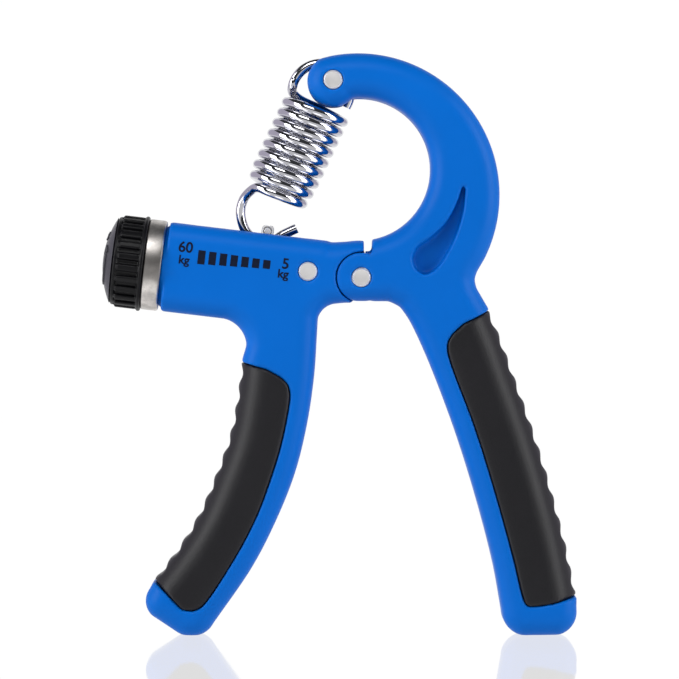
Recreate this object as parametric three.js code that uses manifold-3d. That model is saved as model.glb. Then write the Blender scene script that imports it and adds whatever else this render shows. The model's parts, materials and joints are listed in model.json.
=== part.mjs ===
// Adjustable hand grip strengthener: two handles on one pivot, a tension spring hooked between the
// curved arm of the right handle and a nut that an adjusting screw carries along the barrel.
// Millimetres, +Z up, the flat front face towards -Y. Outlines are drawn about the main pivot.
import * as THREE from 'three';
import { mergeVertices } from 'three/addons/utils/BufferGeometryUtils.js';
import Module from 'manifold-3d';

const wasm = await Module();
wasm.setup();

// ---- driving dimensions ----
const GAP = 0.3;                        // clearance between separate pieces
const PLATE = 21;                       // thickness of both handles
const EDGE = 4.5;                       // rounding along the handles' edges
const FOOT_Z = -95.5;                   // flat soles of both handles
const BOX_CENTRE_X = -5.6;              // middle of the overall width, from the pivot

const PIVOT_RADIUS = 2.6;
const TONGUE_HALF = 4.0;                // half thickness of the left handle's pivot tongue
const TONGUE_RADIUS = 6.3;
const WASHER_THICKNESS = 0.5;
const CHEEK_INNER = TONGUE_HALF + WASHER_THICKNESS + 2 * GAP;   // inner face of the right cheeks
const KNUCKLE_RADIUS = 6.57;
const NOTCH_LEFT = 0.7;
const NOTCH_RIGHT = 2.9;
const NOTCH_FLOOR = 6.9;

const BARREL_TILT = THREE.MathUtils.degToRad(6.8);      // barrel and screw run down to the right
const BARREL_ORIGIN = [-50, 2.6];                       // a point on the screw's axis (x, z)
const BARREL_RADIUS = 11.95;
const BARREL_END = -2.2;
const CHANNEL_HALF = 4.6;                               // half width of the nut's channel
const NUT_HALF = 4.2;
const SCREW_RADIUS = 2.9;
const SCREW_HOLE = SCREW_RADIUS + 0.4;
const SCREW_END = 38.8;
const BUSH_RADIUS = 5;
const RETAINING_PIN = { along: 35.67, above: 3.25, radius: 1.4 };
const KNOB_APEX = -19.24;                               // tip of the knob along the barrel axis
const KNOB_DOME = 2.9;
const KNOB_LENGTH = 11.3;                               // apex to the back of the flange
const KNOB_RADIUS = 12.4;
const KNOB_FLANGE_RADIUS = 12.8;
const KNOB_RIBS = 24;
const COLLAR_RADIUS = 12.15;
const COLLAR_BORE = 8;
const COLLAR_LENGTH = 4.3;

const WIRE_RADIUS = 1.3;
const COIL_RADIUS = 8.05;
const COIL_PITCH = 3.05;
const COIL_TURNS = 9;
const COIL_TOP = [-11.42, 46.28];                       // centre of the top turn (x, z)
const COIL_LEAN = THREE.MathUtils.degToRad(24.9);       // spring axis from the vertical
const BAR_CENTRE = [-25, 12.4];
const BAR_RADIUS = 1.4;
const TOP_PIN = [-7.5, 52.5];
const TOP_PIN_HEAD = 2.6;
const TOP_PIN_SHANK = 1.8;
const TOP_LOOP = { centre: [-10.75, 49.4], radius: 7.8 };
const FORK_HALF = 1.8;
const RECESS_DEPTH = 2.5;

const GRIP_PROUD = 0.3;                                 // rubber stands proud of the plate's faces
const GRIP_WALL = 3.2;                                  // rubber thickness over the core
const SCALLOP_DEPTH = 1.2;

// ---- materials ----
const material = (color, roughness, metalness = 0) =>
  new THREE.MeshStandardMaterial({ color, roughness, metalness });
const bluePlastic = () => material(0x0064c8, 0.35);
const rubber = () => material(0x2c2c30, 0.75);
const blackPlastic = () => material(0x111114, 0.5);
const steel = () => material(0xdcd7d2, 0.3, 1);
const chrome = () => material(0xe8eaee, 0.12, 1);
const brass = () => material(0xb99a5a, 0.35, 1);
const nylon = () => material(0xe4e2da, 0.5);

// ---- solids ----
function solid(geometry) {
  geometry.deleteAttribute('normal');
  geometry.deleteAttribute('uv');
  const merged = mergeVertices(geometry, 1e-4);
  return new wasm.Manifold(new wasm.Mesh({
    numProp: 3,
    vertProperties: new Float32Array(merged.attributes.position.array),
    triVerts: new Uint32Array(merged.index.array),
  }));
}

const group = new THREE.Group();
group.position.set(-BOX_CENTRE_X, 0, -FOOT_Z);

function add(name, shape, surface) {
  const cut = shape.getMesh();
  const geometry = new THREE.BufferGeometry();
  geometry.setAttribute('position', new THREE.BufferAttribute(cut.vertProperties, 3));
  geometry.setIndex(new THREE.BufferAttribute(cut.triVerts, 1));
  const mesh = new THREE.Mesh(geometry, surface);
  mesh.name = name;
  group.add(mesh);
}

const union = (...parts) => parts.reduce((whole, part) => whole.add(part));

// A front-view outline (x, z) made into a slab from y = low to y = high.
function slab(shape, low, high, segments = 12) {
  const geometry = new THREE.ExtrudeGeometry(shape, {
    depth: high - low, bevelEnabled: false, curveSegments: segments,
  });
  geometry.translate(0, 0, -high);
  geometry.rotateX(Math.PI / 2);
  return solid(geometry);
}

// A slab centred on y = 0 with rounded edges that end on the outline.
function roundedSlab(shape, thickness, edge) {
  const geometry = new THREE.ExtrudeGeometry(shape, {
    depth: thickness - 2 * edge, bevelEnabled: true, bevelThickness: edge, bevelSize: edge,
    bevelOffset: -edge, bevelSegments: 2, curveSegments: 12,
  });
  geometry.translate(0, 0, edge - thickness / 2);
  geometry.rotateX(Math.PI / 2);
  return solid(geometry);
}

const polygon = (points) => new THREE.Shape(points.map(([x, z]) => new THREE.Vector2(x, z)));
const rectangle = (x0, z0, x1, z1) => polygon([[x0, z0], [x1, z0], [x1, z1], [x0, z1]]);
const disc = (x, z, radius) => new THREE.Shape().absarc(x, z, radius, 0, 2 * Math.PI, false);

// The same cut on the front and on the back, from y = inner out past the faces.
function bothFaces(shape, inner, outer = PLATE) {
  return union(slab(shape, inner, outer), slab(shape, -outer, -inner));
}

// Smooth curve through front-view points, as evenly spaced points.
function smooth(points, count) {
  const curve = new THREE.CatmullRomCurve3(points.map(([x, z]) => new THREE.Vector3(x, z, 0)));
  return curve.getSpacedPoints(count).map((point) => [point.x, point.y]);
}

const arc = (x, z, radius, start, end, count) => Array.from({ length: count + 1 }, (_, i) => {
  const angle = THREE.MathUtils.degToRad(start + ((end - start) * i) / count);
  return [x + radius * Math.cos(angle), z + radius * Math.sin(angle)];
});

// A line moved sideways, to the left of its direction of travel for a positive distance.
function shifted(points, distance) {
  return points.map((point, i) => {
    const before = points[Math.max(i - 1, 0)];
    const after = points[Math.min(i + 1, points.length - 1)];
    const length = Math.hypot(after[0] - before[0], after[1] - before[1]);
    const offset = typeof distance === 'function' ? distance(i / (points.length - 1)) : distance;
    return [
      point[0] - (offset * (after[1] - before[1])) / length,
      point[1] + (offset * (after[0] - before[0])) / length,
    ];
  });
}

// Pieces turned about the screw's axis: lathe profile points are [radius, distance along].
const barrelMatrix = new THREE.Matrix4()
  .makeTranslation(BARREL_ORIGIN[0], 0, BARREL_ORIGIN[1])
  .multiply(new THREE.Matrix4().makeRotationY(BARREL_TILT));
function toBarrel(geometry) {
  return solid(geometry.applyMatrix4(barrelMatrix));
}

// Turned about the local X axis, which runs along the barrel.
function turned(profile, segments = 24) {
  const geometry = new THREE.LatheGeometry(profile.map(([r, u]) => new THREE.Vector2(r, u)), segments);
  geometry.rotateZ(-Math.PI / 2);
  return toBarrel(geometry);
}
const shaft = (radius, from, to, segments = 24) =>
  turned([[0, from], [radius, from], [radius, to], [0, to]], segments);
const tube = (outer, inner, from, to, segments = 24) =>
  turned([[inner, from], [outer, from], [outer, to], [inner, to], [inner, from]], segments);
function barrelBox(from, to, halfWidth, low, high) {
  const geometry = new THREE.BoxGeometry(to - from, 2 * halfWidth, high - low);
  geometry.translate((from + to) / 2, 0, (low + high) / 2);
  return toBarrel(geometry);
}

// Front-view point of a place along the barrel and above its axis.
function barrelPoint(along, above) {
  return [
    BARREL_ORIGIN[0] + along * Math.cos(BARREL_TILT) + above * Math.sin(BARREL_TILT),
    BARREL_ORIGIN[1] - along * Math.sin(BARREL_TILT) + above * Math.cos(BARREL_TILT),
  ];
}

// A round pin along Y.
function crossPin([x, z], radius, halfLength, segments = 24) {
  const geometry = new THREE.CylinderGeometry(radius, radius, 2 * halfLength, segments);
  geometry.translate(x, 0, z);
  return solid(geometry);
}

function crossRing([x, z], outer, inner, low, high) {
  return slab(disc(x, z, outer), low, high).subtract(slab(disc(x, z, inner), low - 1, high + 1));
}

// ---- grips: a rubber cover over the handle's outer edge, open towards the inner side ----
// outline: the whole handle. outer: points along its outer edge, top to bottom. inner: the cover's edge on the faces,
// bottom to top. side is +1 when the outer edge lies to the left of its direction of travel.
function gripParts({ outline, outer, inner, side, scallops }) {
  const wave = (t) => -side * (SCALLOP_DEPTH / 2) * (1 - Math.cos(2 * Math.PI * scallops * t));
  const crest = shifted(smooth(outer, scallops * 6), wave);
  const coverShape = polygon([...crest, ...inner]);
  const coarse = smooth(outer, 12);
  const top = inner[inner.length - 1];
  const reach = 1 + 3 / Math.hypot(outer[0][0] - top[0], outer[0][1] - top[1]);
  const cutCorner = [top[0] + reach * (outer[0][0] - top[0]), top[1] + reach * (outer[0][1] - top[1]) + GAP];
  const cutShape = polygon([cutCorner, ...shifted(coarse, side * 3).slice(1), ...shifted(inner, side * GAP)]);
  const coreOuter = shifted(coarse, -side * (GRIP_WALL + SCALLOP_DEPTH));
  const first = coreOuter[0];
  const coreShape = (gap) => polygon([
    [first[0] - side * 2, first[1] + 7],
    ...shifted(coreOuter, side * gap),
    ...shifted(inner, side * 3.5),
  ]);
  const coreHalf = PLATE / 2 - GRIP_WALL;
  return {
    cut: slab(cutShape, -PLATE, PLATE),
    core: slab(coreShape(0), -coreHalf, coreHalf),
    cover: roundedSlab(outline, PLATE + 2 * GRIP_PROUD, EDGE)
      .intersect(slab(coverShape, -PLATE, PLATE))
      .subtract(slab(coreShape(GAP), -coreHalf - GAP, coreHalf + GAP)),
  };
}

// ---- left handle: barrel, pivot tongue and lower grip arm ----
const leftOuterPoints = [
  [-32.0, -22.6], [-33.1, -31], [-35.2, -42], [-39.2, -53.3], [-43.4, -63], [-48.6, -71.8], [-55.2, -80.6],
];
const leftOuter = smooth(leftOuterPoints, 12);
const leftGripInner = smooth([
  [-47.6, -88.4], [-44.2, -88.6], [-41.3, -86.4], [-37, -80.1], [-31.9, -71.6], [-27.6, -63],
  [-24.4, -54.4], [-21.7, -45.8], [-19.8, -37.3], [-19, -30.8], [-20.7, -27.3], [-25.5, -24.4],
], 24);
const leftInnerEdge = smooth([
  [-11.8, -14.5], [-12.6, -26.5], [-14.5, -39.4], [-17.7, -52.3], [-22.8, -65.1], [-29.5, -78], [-39.6, -92.6],
], 10);
const crotch = arc(-38.4, -18.6, 7.8, 75, 4, 6);
const leftOutline = polygon([
  [8, 9.9], [8, -7], [-5.4, -7], ...arc(-6.4, -12.4, 5.4, 90, 165, 4), ...leftInnerEdge,
  ...arc(-45.4, -88.9, 7.0, -42, -128, 5), ...arc(-52.2, -86.4, 5.4, 225, 140, 4),
  ...leftOuter.slice().reverse(), ...crotch.slice().reverse(),
  barrelPoint(6, -BARREL_RADIUS), barrelPoint(BARREL_END + 3, -BARREL_RADIUS),
  barrelPoint(BARREL_END, -BARREL_RADIUS + 3), barrelPoint(BARREL_END, BARREL_RADIUS - 3),
  barrelPoint(BARREL_END + 3, BARREL_RADIUS), barrelPoint(40, BARREL_RADIUS), [-7, 9.3], [-2, 9.6],
]);
const leftGrip = gripParts({
  outline: leftOutline, outer: leftOuterPoints, inner: leftGripInner, side: -1, scallops: 10,
});

function leftHandle() {
  const body = roundedSlab(leftOutline, PLATE, EDGE)
    .subtract(slab(rectangle(NOTCH_LEFT, -12, 12, 14), -PLATE, PLATE))
    .subtract(slab(rectangle(-4, -12, 12, -5), -PLATE, PLATE))
    .subtract(bothFaces(disc(0, 0, KNUCKLE_RADIUS + GAP), TONGUE_HALF))
    .subtract(leftGrip.cut);
  const tongue = slab(disc(0, 0, TONGUE_RADIUS), -TONGUE_HALF, TONGUE_HALF);
  const neck = shaft(11.5, BARREL_END - 0.8, BARREL_END + 3);
  const spigot = shaft(COLLAR_BORE - GAP, BARREL_END - 4.1, BARREL_END);
  return union(body, leftGrip.core, tongue, neck, spigot)
    .subtract(shaft(SCREW_HOLE, -8, SCREW_END + 0.6))
    .subtract(shaft(BUSH_RADIUS + GAP, -8, 1.5))
    .subtract(barrelBox(3.2, 29.8, CHANNEL_HALF, -NUT_HALF - 0.4, 20))
    .subtract(barrelBox(3.2, 34.2, CHANNEL_HALF, 6, 20))
    .subtract(crossPin(barrelPoint(RETAINING_PIN.along, RETAINING_PIN.above), RETAINING_PIN.radius + GAP, PLATE))
    .subtract(slab(disc(0, 0, PIVOT_RADIUS + 1.2 + 2 * GAP), -PLATE, PLATE))
    .subtract(slab(rectangle(-80, -110, 0, FOOT_Z), -PLATE, PLATE));
}
add('left_handle', leftHandle(), bluePlastic());
add('left_grip', leftGrip.cover.subtract(slab(rectangle(-80, -110, 0, FOOT_Z), -PLATE, PLATE)), rubber());

// ---- barrel hardware ----
const COLLAR_FROM = KNOB_APEX + KNOB_LENGTH + GAP;
add('barrel_collar', tube(COLLAR_RADIUS, COLLAR_BORE, COLLAR_FROM, COLLAR_FROM + COLLAR_LENGTH, 36), steel());
add('thrust_washer', tube(COLLAR_BORE - GAP, SCREW_HOLE, COLLAR_FROM, COLLAR_FROM + 1), steel());
add('screw_bush', tube(BUSH_RADIUS, SCREW_HOLE, COLLAR_FROM + 1 + GAP, 1.2), brass());
add('screw_retaining_pin',
  crossPin(barrelPoint(RETAINING_PIN.along, RETAINING_PIN.above), RETAINING_PIN.radius, PLATE / 2 - 0.2)
    .add(crossRing(barrelPoint(RETAINING_PIN.along, RETAINING_PIN.above), 1.4, 0.7, 0, 1)), steel());

// ---- knob ----
function ribbedDisc(from, to) {
  const points = [];
  for (let rib = 0; rib < KNOB_RIBS; rib += 1) {
    const centre = ((rib + 0.5) * 2 * Math.PI) / KNOB_RIBS;
    for (const [turn, radius] of [[-0.09, 11.6], [-0.055, KNOB_RADIUS], [0.055, KNOB_RADIUS], [0.09, 11.6]]) {
      points.push([radius * Math.sin(centre + turn), radius * Math.cos(centre + turn)]);
    }
  }
  const geometry = new THREE.ExtrudeGeometry(polygon(points.reverse()), { depth: to - from, bevelEnabled: false });
  geometry.translate(0, 0, from);
  geometry.rotateY(Math.PI / 2);
  return toBarrel(geometry);
}
const KNOB_FRONT = KNOB_APEX + KNOB_DOME;
const KNOB_BACK = KNOB_APEX + KNOB_LENGTH;
const HEAD_RADIUS = 5.2;
const HEAD_LENGTH = 3.6;
add('knob', union(
  turned([[0, KNOB_FRONT + GAP], [11.3, KNOB_FRONT + GAP], [11.7, KNOB_FRONT + 0.7], [11.7, KNOB_FRONT + 1.4],
    [0, KNOB_FRONT + 1.4]], 36),
  ribbedDisc(KNOB_FRONT + 1.2, KNOB_BACK - 0.9),
  turned([[0, KNOB_BACK - 1.1], [12.5, KNOB_BACK - 1.1], [KNOB_FLANGE_RADIUS, KNOB_BACK - 0.8],
    [KNOB_FLANGE_RADIUS, KNOB_BACK - 0.3], [12.5, KNOB_BACK], [0, KNOB_BACK]], 36),
).subtract(shaft(SCREW_HOLE, -30, 0))
  .subtract(shaft(HEAD_RADIUS + GAP, -30, KNOB_FRONT + GAP + HEAD_LENGTH + 0.6, 6)), blackPlastic());

const DOME_RADIUS = (11.45 ** 2 + KNOB_DOME ** 2) / (2 * KNOB_DOME);
const domeProfile = Array.from({ length: 5 }, (_, i) => {
  const radius = (11.45 * i) / 4;
  return [radius, KNOB_APEX + DOME_RADIUS - Math.sqrt(DOME_RADIUS ** 2 - radius ** 2)];
});
add('knob_cap', union(
  turned([...domeProfile, [11.45, KNOB_FRONT + 0.01], [0, KNOB_FRONT + 0.01]], 36),
  shaft(4.4, KNOB_FRONT - 0.5, KNOB_FRONT + 0.6, 24),
), material(0x5f5f69, 0.35));

add('adjusting_screw', union(
  shaft(HEAD_RADIUS, KNOB_FRONT + 1.2, KNOB_FRONT + 1.2 + HEAD_LENGTH - 0.6, 6),
  shaft(SCREW_RADIUS, KNOB_FRONT + 2, RETAINING_PIN.along - 1.8, 24),
  shaft(1.4, RETAINING_PIN.along - 2, RETAINING_PIN.along + 2, 16),
  shaft(SCREW_RADIUS, RETAINING_PIN.along + 1.8, SCREW_END, 24),
), steel());

// ---- traveller: nut on the screw with two ears, and the bar the spring hooks on ----
const BAR_ALONG = (BAR_CENTRE[0] - BARREL_ORIGIN[0]) * Math.cos(BARREL_TILT)
  - (BAR_CENTRE[1] - BARREL_ORIGIN[1]) * Math.sin(BARREL_TILT);
const EAR_HALF = 1.7;
const earShape = polygon([
  barrelPoint(BAR_ALONG - EAR_HALF, 4), barrelPoint(BAR_ALONG + EAR_HALF, 4),
  ...arc(BAR_CENTRE[0], BAR_CENTRE[1], EAR_HALF, -4, 184, 8),
]);
add('traveller_nut', union(
  barrelBox(BAR_ALONG - 4, BAR_ALONG + 4, NUT_HALF, -NUT_HALF, 5),
  slab(earShape, WIRE_RADIUS + 0.4, NUT_HALF),
  slab(earShape, -NUT_HALF, -WIRE_RADIUS - 0.4),
).subtract(shaft(SCREW_HOLE - 0.1, 0, 34))
  .subtract(crossPin(BAR_CENTRE, 1.15, PLATE, 16)), steel());
add('traveller_bar', crossPin(BAR_CENTRE, BAR_RADIUS, WIRE_RADIUS + 0.2, 16)
  .add(crossPin(BAR_CENTRE, 0.9, NUT_HALF, 16)), steel());

// ---- right handle: curved arm with a forked tip, knuckle cheeks and grip arm ----
const rightOuterPoints = [
  [34.2, -8.8], [37.6, -17], [41, -26.5], [44.8, -37], [48.4, -48], [51.6, -59], [54.6, -70.5], [57.6, -84.8],
];
const rightOuter = smooth(rightOuterPoints, 12);
const rightGripInner = smooth([
  [52, -86.6], [46.2, -87.4], [43.4, -86.2], [40.2, -73.7], [35.4, -56.5], [30, -39.4], [23.6, -22.2],
  [23.4, -16.6], [27.2, -12.4],
], 24);
const rightInnerEdge = smooth([
  [10.4, -7.9], [13.6, -12.8], [18.8, -24.4], [25.2, -41.5], [30.6, -58.7], [35.1, -75.8], [37.6, -89.2],
], 10);
const rightOutline = polygon([
  [-10, 9.9], ...arc(-0.5, 28.8, 19, -79.8, 96, 18), ...arc(-7.5, 52.3, 6.9, -46, -240, 10),
  ...arc(-0.8, 21.9, 38.3, 101, -29, 16), [31, -1], [31.6, -3.6], ...rightOuter,
  ...arc(51.2, -89.3, 6.4, 10, -75, 5), ...arc(44.4, -88.9, 6.9, -97, -165, 4),
  ...rightInnerEdge.slice().reverse(), [7.4, -6.4], [-10, -6.4],
].reverse());
const rightGrip = gripParts({
  outline: rightOutline, outer: rightOuterPoints, inner: rightGripInner, side: 1, scallops: 12,
});

function rightHandle() {
  const aroundKnuckle = bothFaces(rectangle(-14, -14, NOTCH_RIGHT, 14), TONGUE_HALF + 2 * GAP)
    .subtract(slab(disc(0, 0, KNUCKLE_RADIUS), -2 * PLATE, 2 * PLATE, 16));
  const recess = new THREE.Shape();
  recess.moveTo(28.1, 25.1);
  recess.splineThru([[26.2, 19.9], [23.2, 14.3], [18.5, 9.7], [14.8, 7.0], [13.5, 4.2], [14.4, 1.6],
    [16.9, 0.7], [20.1, 2.7], [23.2, 7.0], [25.9, 12.5], [27.8, 18.7], [28.4, 23.6]]
    .map(([x, z]) => new THREE.Vector2(x, z)));
  return union(roundedSlab(rightOutline, PLATE, EDGE).subtract(rightGrip.cut), rightGrip.core)
    .subtract(aroundKnuckle)
    .subtract(slab(disc(0, 0, TONGUE_RADIUS + 0.4), -CHEEK_INNER, CHEEK_INNER))
    .subtract(slab(rectangle(-14, -14, NOTCH_LEFT + 0.35, 14), -CHEEK_INNER, CHEEK_INNER))
    .subtract(slab(rectangle(0, NOTCH_FLOOR, NOTCH_RIGHT, 14), -PLATE, PLATE))
    .subtract(slab(disc(...TOP_LOOP.centre, 11), -FORK_HALF, FORK_HALF))
    .subtract(crossPin([0, 0], PIVOT_RADIUS + GAP, PLATE))
    .subtract(crossPin(TOP_PIN, TOP_PIN_HEAD + GAP, PLATE))
    .subtract(bothFaces(recess, PLATE / 2 - RECESS_DEPTH))
    .subtract(slab(rectangle(0, -110, 80, FOOT_Z), -PLATE, PLATE));
}
add('right_handle', rightHandle(), bluePlastic());
add('right_grip', rightGrip.cover, rubber());

// ---- main pivot and the spring's upper pin ----
add('pivot_pin', crossPin([0, 0], PIVOT_RADIUS, PLATE / 2 - 0.2, 32), steel());
add('pivot_sleeve', crossRing([0, 0], PIVOT_RADIUS + 1.2 + GAP, PIVOT_RADIUS + GAP, -TONGUE_HALF, TONGUE_HALF), brass());
const WASHER_FROM = TONGUE_HALF + GAP;
const WASHER_TO = WASHER_FROM + WASHER_THICKNESS;
add('pivot_washer_front', crossRing([0, 0], 5.8, PIVOT_RADIUS + GAP, -WASHER_TO, -WASHER_FROM), nylon());
add('pivot_washer_back', crossRing([0, 0], 5.8, PIVOT_RADIUS + GAP, WASHER_FROM, WASHER_TO), nylon());
add('spring_top_pin', union(
  crossPin(TOP_PIN, TOP_PIN_SHANK, PLATE / 2 - 0.5),
  slab(disc(...TOP_PIN, TOP_PIN_HEAD), FORK_HALF + 0.4, PLATE / 2 - 0.2),
  slab(disc(...TOP_PIN, TOP_PIN_HEAD), -PLATE / 2 + 0.2, -FORK_HALF - 0.4),
), steel());

// ---- spring: hook under the bar, helix, full loop over the top pin ----
const axis = new THREE.Vector3(Math.sin(COIL_LEAN), 0, Math.cos(COIL_LEAN));
const across = new THREE.Vector3(Math.cos(COIL_LEAN), 0, -Math.sin(COIL_LEAN));
// turn runs from 0 at the bottom to COIL_TURNS at the top; whole turns lie at the left extreme
function coilPoint(turn) {
  const angle = Math.PI - 2 * Math.PI * turn;
  const taper = Math.min(1, 0.89 + 0.055 * turn);
  const point = new THREE.Vector3(COIL_TOP[0], 0, COIL_TOP[1]);
  point.addScaledVector(axis, (turn - COIL_TURNS) * COIL_PITCH);
  point.addScaledVector(across, COIL_RADIUS * taper * Math.cos(angle));
  point.y -= COIL_RADIUS * taper * Math.sin(angle);
  return point;
}
const STEPS_PER_TURN = 14;
function coilPoints(from, to) {
  const steps = Math.round((to - from) * STEPS_PER_TURN);
  return Array.from({ length: steps + 1 }, (_, i) => coilPoint(from + ((to - from) * i) / steps));
}
function wire(points, steps) {
  const section = new THREE.Shape().absarc(0, 0, WIRE_RADIUS, 0, 2 * Math.PI, false);
  const geometry = new THREE.ExtrudeGeometry(section, {
    steps, curveSegments: 4, extrudePath: new THREE.CatmullRomCurve3(points),
  });
  return solid(geometry);
}
const place = ([x, y, z]) => new THREE.Vector3(x, y, z);
const lowerHook = [
  [-17.3, 0, 13.1], [-20.9, 0, 11.4], [-23.3, 0, 9.8], [-25.6, 0, 9.3], [-28.6, 0, 10.2], [-31.2, 0, 12.9],
  [-32.3, 0, 17.2], [-31.4, -0.9, 20.9], [-29.2, -3.2, 23.3],
].map(place);
const upperLoop = [
  [-16.2, 5.3, 47.6], [-18.3, 2.2, 49.5],
  ...arc(...TOP_LOOP.centre, TOP_LOOP.radius, 165, -31, 13).map(([x, z]) => [x, 0, z]),
].map(place);
const WIRE_CUT = 0.02;                                  // part of a turn left open between sections
add('spring_lower_hook', wire([...lowerHook, ...coilPoints(0.15, 0.5)], 20), chrome());
add('spring_first_coils', wire(coilPoints(0.5 + WIRE_CUT, 3), 35), chrome());
add('spring_coils_lower', wire(coilPoints(3 + WIRE_CUT, 5.5), 35), chrome());
add('spring_coils_upper', wire(coilPoints(5.5 + WIRE_CUT, 8), 35), chrome());
add('spring_upper_hook', wire([...coilPoints(8 + WIRE_CUT, 8.75), ...upperLoop], 34), chrome());

export default group;
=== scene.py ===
"""The looks of an adjustable hand grip strengthener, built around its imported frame.

Outlines are in millimetres from the main pivot, x to the right and z up, as seen from the front.
"""
import json
import math

import bpy
from mathutils import Matrix, Vector


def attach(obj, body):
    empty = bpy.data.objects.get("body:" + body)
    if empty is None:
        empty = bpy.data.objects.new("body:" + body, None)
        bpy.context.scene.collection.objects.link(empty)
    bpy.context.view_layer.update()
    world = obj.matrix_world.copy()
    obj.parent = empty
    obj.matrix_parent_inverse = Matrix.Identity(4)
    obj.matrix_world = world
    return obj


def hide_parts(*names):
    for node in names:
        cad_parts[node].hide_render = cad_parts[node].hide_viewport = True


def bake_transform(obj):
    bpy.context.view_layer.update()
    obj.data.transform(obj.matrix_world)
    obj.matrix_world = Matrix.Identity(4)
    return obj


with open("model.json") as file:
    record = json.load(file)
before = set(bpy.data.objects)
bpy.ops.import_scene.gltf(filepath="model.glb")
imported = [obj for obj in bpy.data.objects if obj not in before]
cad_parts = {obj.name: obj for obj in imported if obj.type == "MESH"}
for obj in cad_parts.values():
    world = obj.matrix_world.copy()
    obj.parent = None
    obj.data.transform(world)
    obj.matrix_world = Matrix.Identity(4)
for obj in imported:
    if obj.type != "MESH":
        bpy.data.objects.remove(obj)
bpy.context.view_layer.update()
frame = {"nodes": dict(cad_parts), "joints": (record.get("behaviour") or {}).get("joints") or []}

bl_info = {
    "name": "Hand Grip Strengthener",
    "version": (1, 0, 0),
    "blender": (4, 5, 0),
    "location": "3D View > Sidebar > Grip",
    "description": "Builds the handles, rubber grips, knob, spring and fittings of a hand grip strengthener",
    "category": "Object",
}

MM = 0.001
JOINTS = {joint["name"]: joint for joint in frame["joints"]}
PIVOT = Vector(JOINTS["handle_squeeze"]["pos_m"])
BARREL_AXIS = Vector(JOINTS["knob_turn"]["axis"])
BARREL_TILT = math.atan2(-BARREL_AXIS.z, BARREL_AXIS.x)
BARREL_ORIGIN = Vector((-50, 0, 2.6))
SPRING_AXIS = Vector(JOINTS["spring_stretch_lower"]["axis"])
SPRING_LEAN = math.atan2(SPRING_AXIS.x, SPRING_AXIS.z)
SPRING_ACROSS = Vector((math.cos(SPRING_LEAN), 0, -math.sin(SPRING_LEAN)))
FOOT_Z = -PIVOT.z / MM
BARREL_MATRIX = (Matrix.Translation(PIVOT) @ Matrix.Scale(MM, 4)
                 @ Matrix.Translation(BARREL_ORIGIN) @ Matrix.Rotation(BARREL_TILT, 4, "Y"))
PIVOT_MATRIX = Matrix.Translation(PIVOT) @ Matrix.Scale(MM, 4)

BARREL_END = -2.2
KNOB_APEX = -19.24
KNOB_DOME = 2.9
KNOB_LENGTH = 11.3
RETAINING_PIN = (35.67, 3.25)
BAR_CENTRE = (-25, 12.4)
TOP_PIN = (-7.5, 52.5)
TOP_LOOP = ((-10.75, 49.4), 7.8)
COIL_TOP = Vector((-11.42, 0, 46.28))
COIL_TURNS = 9
COIL_START = 0.5    # the turn where the hook ends
LINE_STEP = 0.0157  # turns; neighbouring lengths of wire overlap by this much
# Half turns in each stretching length, the bodies it lies between, and the CAD node it stands for.
STRETCHING_LENGTHS = ((6, "spring_lower", "spring_middle", "spring_first_coils"),
                      (4, "spring_middle", "spring_upper", "spring_coils_lower"),
                      (6, "spring_upper", "spring_top", "spring_coils_upper"))
SCREW_END = 38.8
TONGUE_HALF = 4.0
CHEEK_INNER = 5.1


# ---- properties ----

def millimetres(name, description, default):
    return bpy.props.FloatProperty(name=name, description=description, default=default)


def colour(name, description, default):
    return bpy.props.FloatVectorProperty(name=name, description=description, subtype="COLOR", default=default)


class GripSizes(bpy.types.PropertyGroup):
    """Sizes that a user may change, in millimetres."""
    plate: millimetres("Handle thickness", "Front to back thickness of both handles", 21)
    edge: millimetres("Edge radius", "Rounding along the handles' outer edges", 5.2)
    grip_edge: millimetres("Grip edge radius", "Rounding along the rubber's outer edges", 8.4)
    seam: millimetres("Seam", "Width of the line between rubber and plastic", 0.12)
    proud: millimetres("Rubber height", "How far the rubber stands out of the faces", 0.3)
    scallop: millimetres("Scallop depth", "Depth of the finger ribs on the grips", 0.85)
    wire: millimetres("Spring wire radius", "Radius of the spring's wire", 1.3)
    coil: millimetres("Coil radius", "Radius of the coil at the wire's middle", 8.05)
    pitch: millimetres("Coil pitch", "Distance from turn to turn", 3.05)
    ribs: bpy.props.IntProperty(
        name="Knob ribs", description="Number of ribs round the knob", default=24)
    voxel: millimetres("Surface detail", "Grid size of the moulded surfaces", 0.48)


class GripColours(bpy.types.PropertyGroup):
    """Finishes that a user may change, as linear colours."""
    plastic: colour("Handle plastic", "Colour of both handles", (0.0, 0.115, 0.500))
    rubber: colour("Grip rubber", "Colour of the rubber grips", (0.0045, 0.0042, 0.0060))
    knob: colour("Knob plastic", "Colour of the load knob", (0.0022, 0.0022, 0.0030))
    cap: colour("Knob cap", "Colour of the knob's domed cap", (0.035, 0.035, 0.042))
    nickel: colour("Collar nickel", "Colour of the barrel collar", (0.74, 0.70, 0.67))
    steel: colour("Pin steel", "Colour of pins, nut and screw", (0.74, 0.73, 0.73))
    chrome: colour("Spring chrome", "Colour of the plated spring", (0.60, 0.60, 0.64))
    print_ink: colour("Scale ink", "Colour of the printed load scale", (0.004, 0.007, 0.020))


# ---- shaders ----

class Socket:
    """A shader socket. Arithmetic on it adds Math nodes."""

    def __init__(self, shader, socket):
        self.shader = shader
        self.socket = socket

    def _math(self, operation, first, second):
        return self.shader.node("ShaderNodeMath", {"operation": operation}, {0: first, 1: second})

    def __add__(self, other):
        return self._math("ADD", self, other)

    __radd__ = __add__

    def __sub__(self, other):
        return self._math("SUBTRACT", self, other)

    def __rsub__(self, other):
        return self._math("SUBTRACT", other, self)

    def __mul__(self, other):
        return self._math("MULTIPLY", self, other)

    __rmul__ = __mul__


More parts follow.
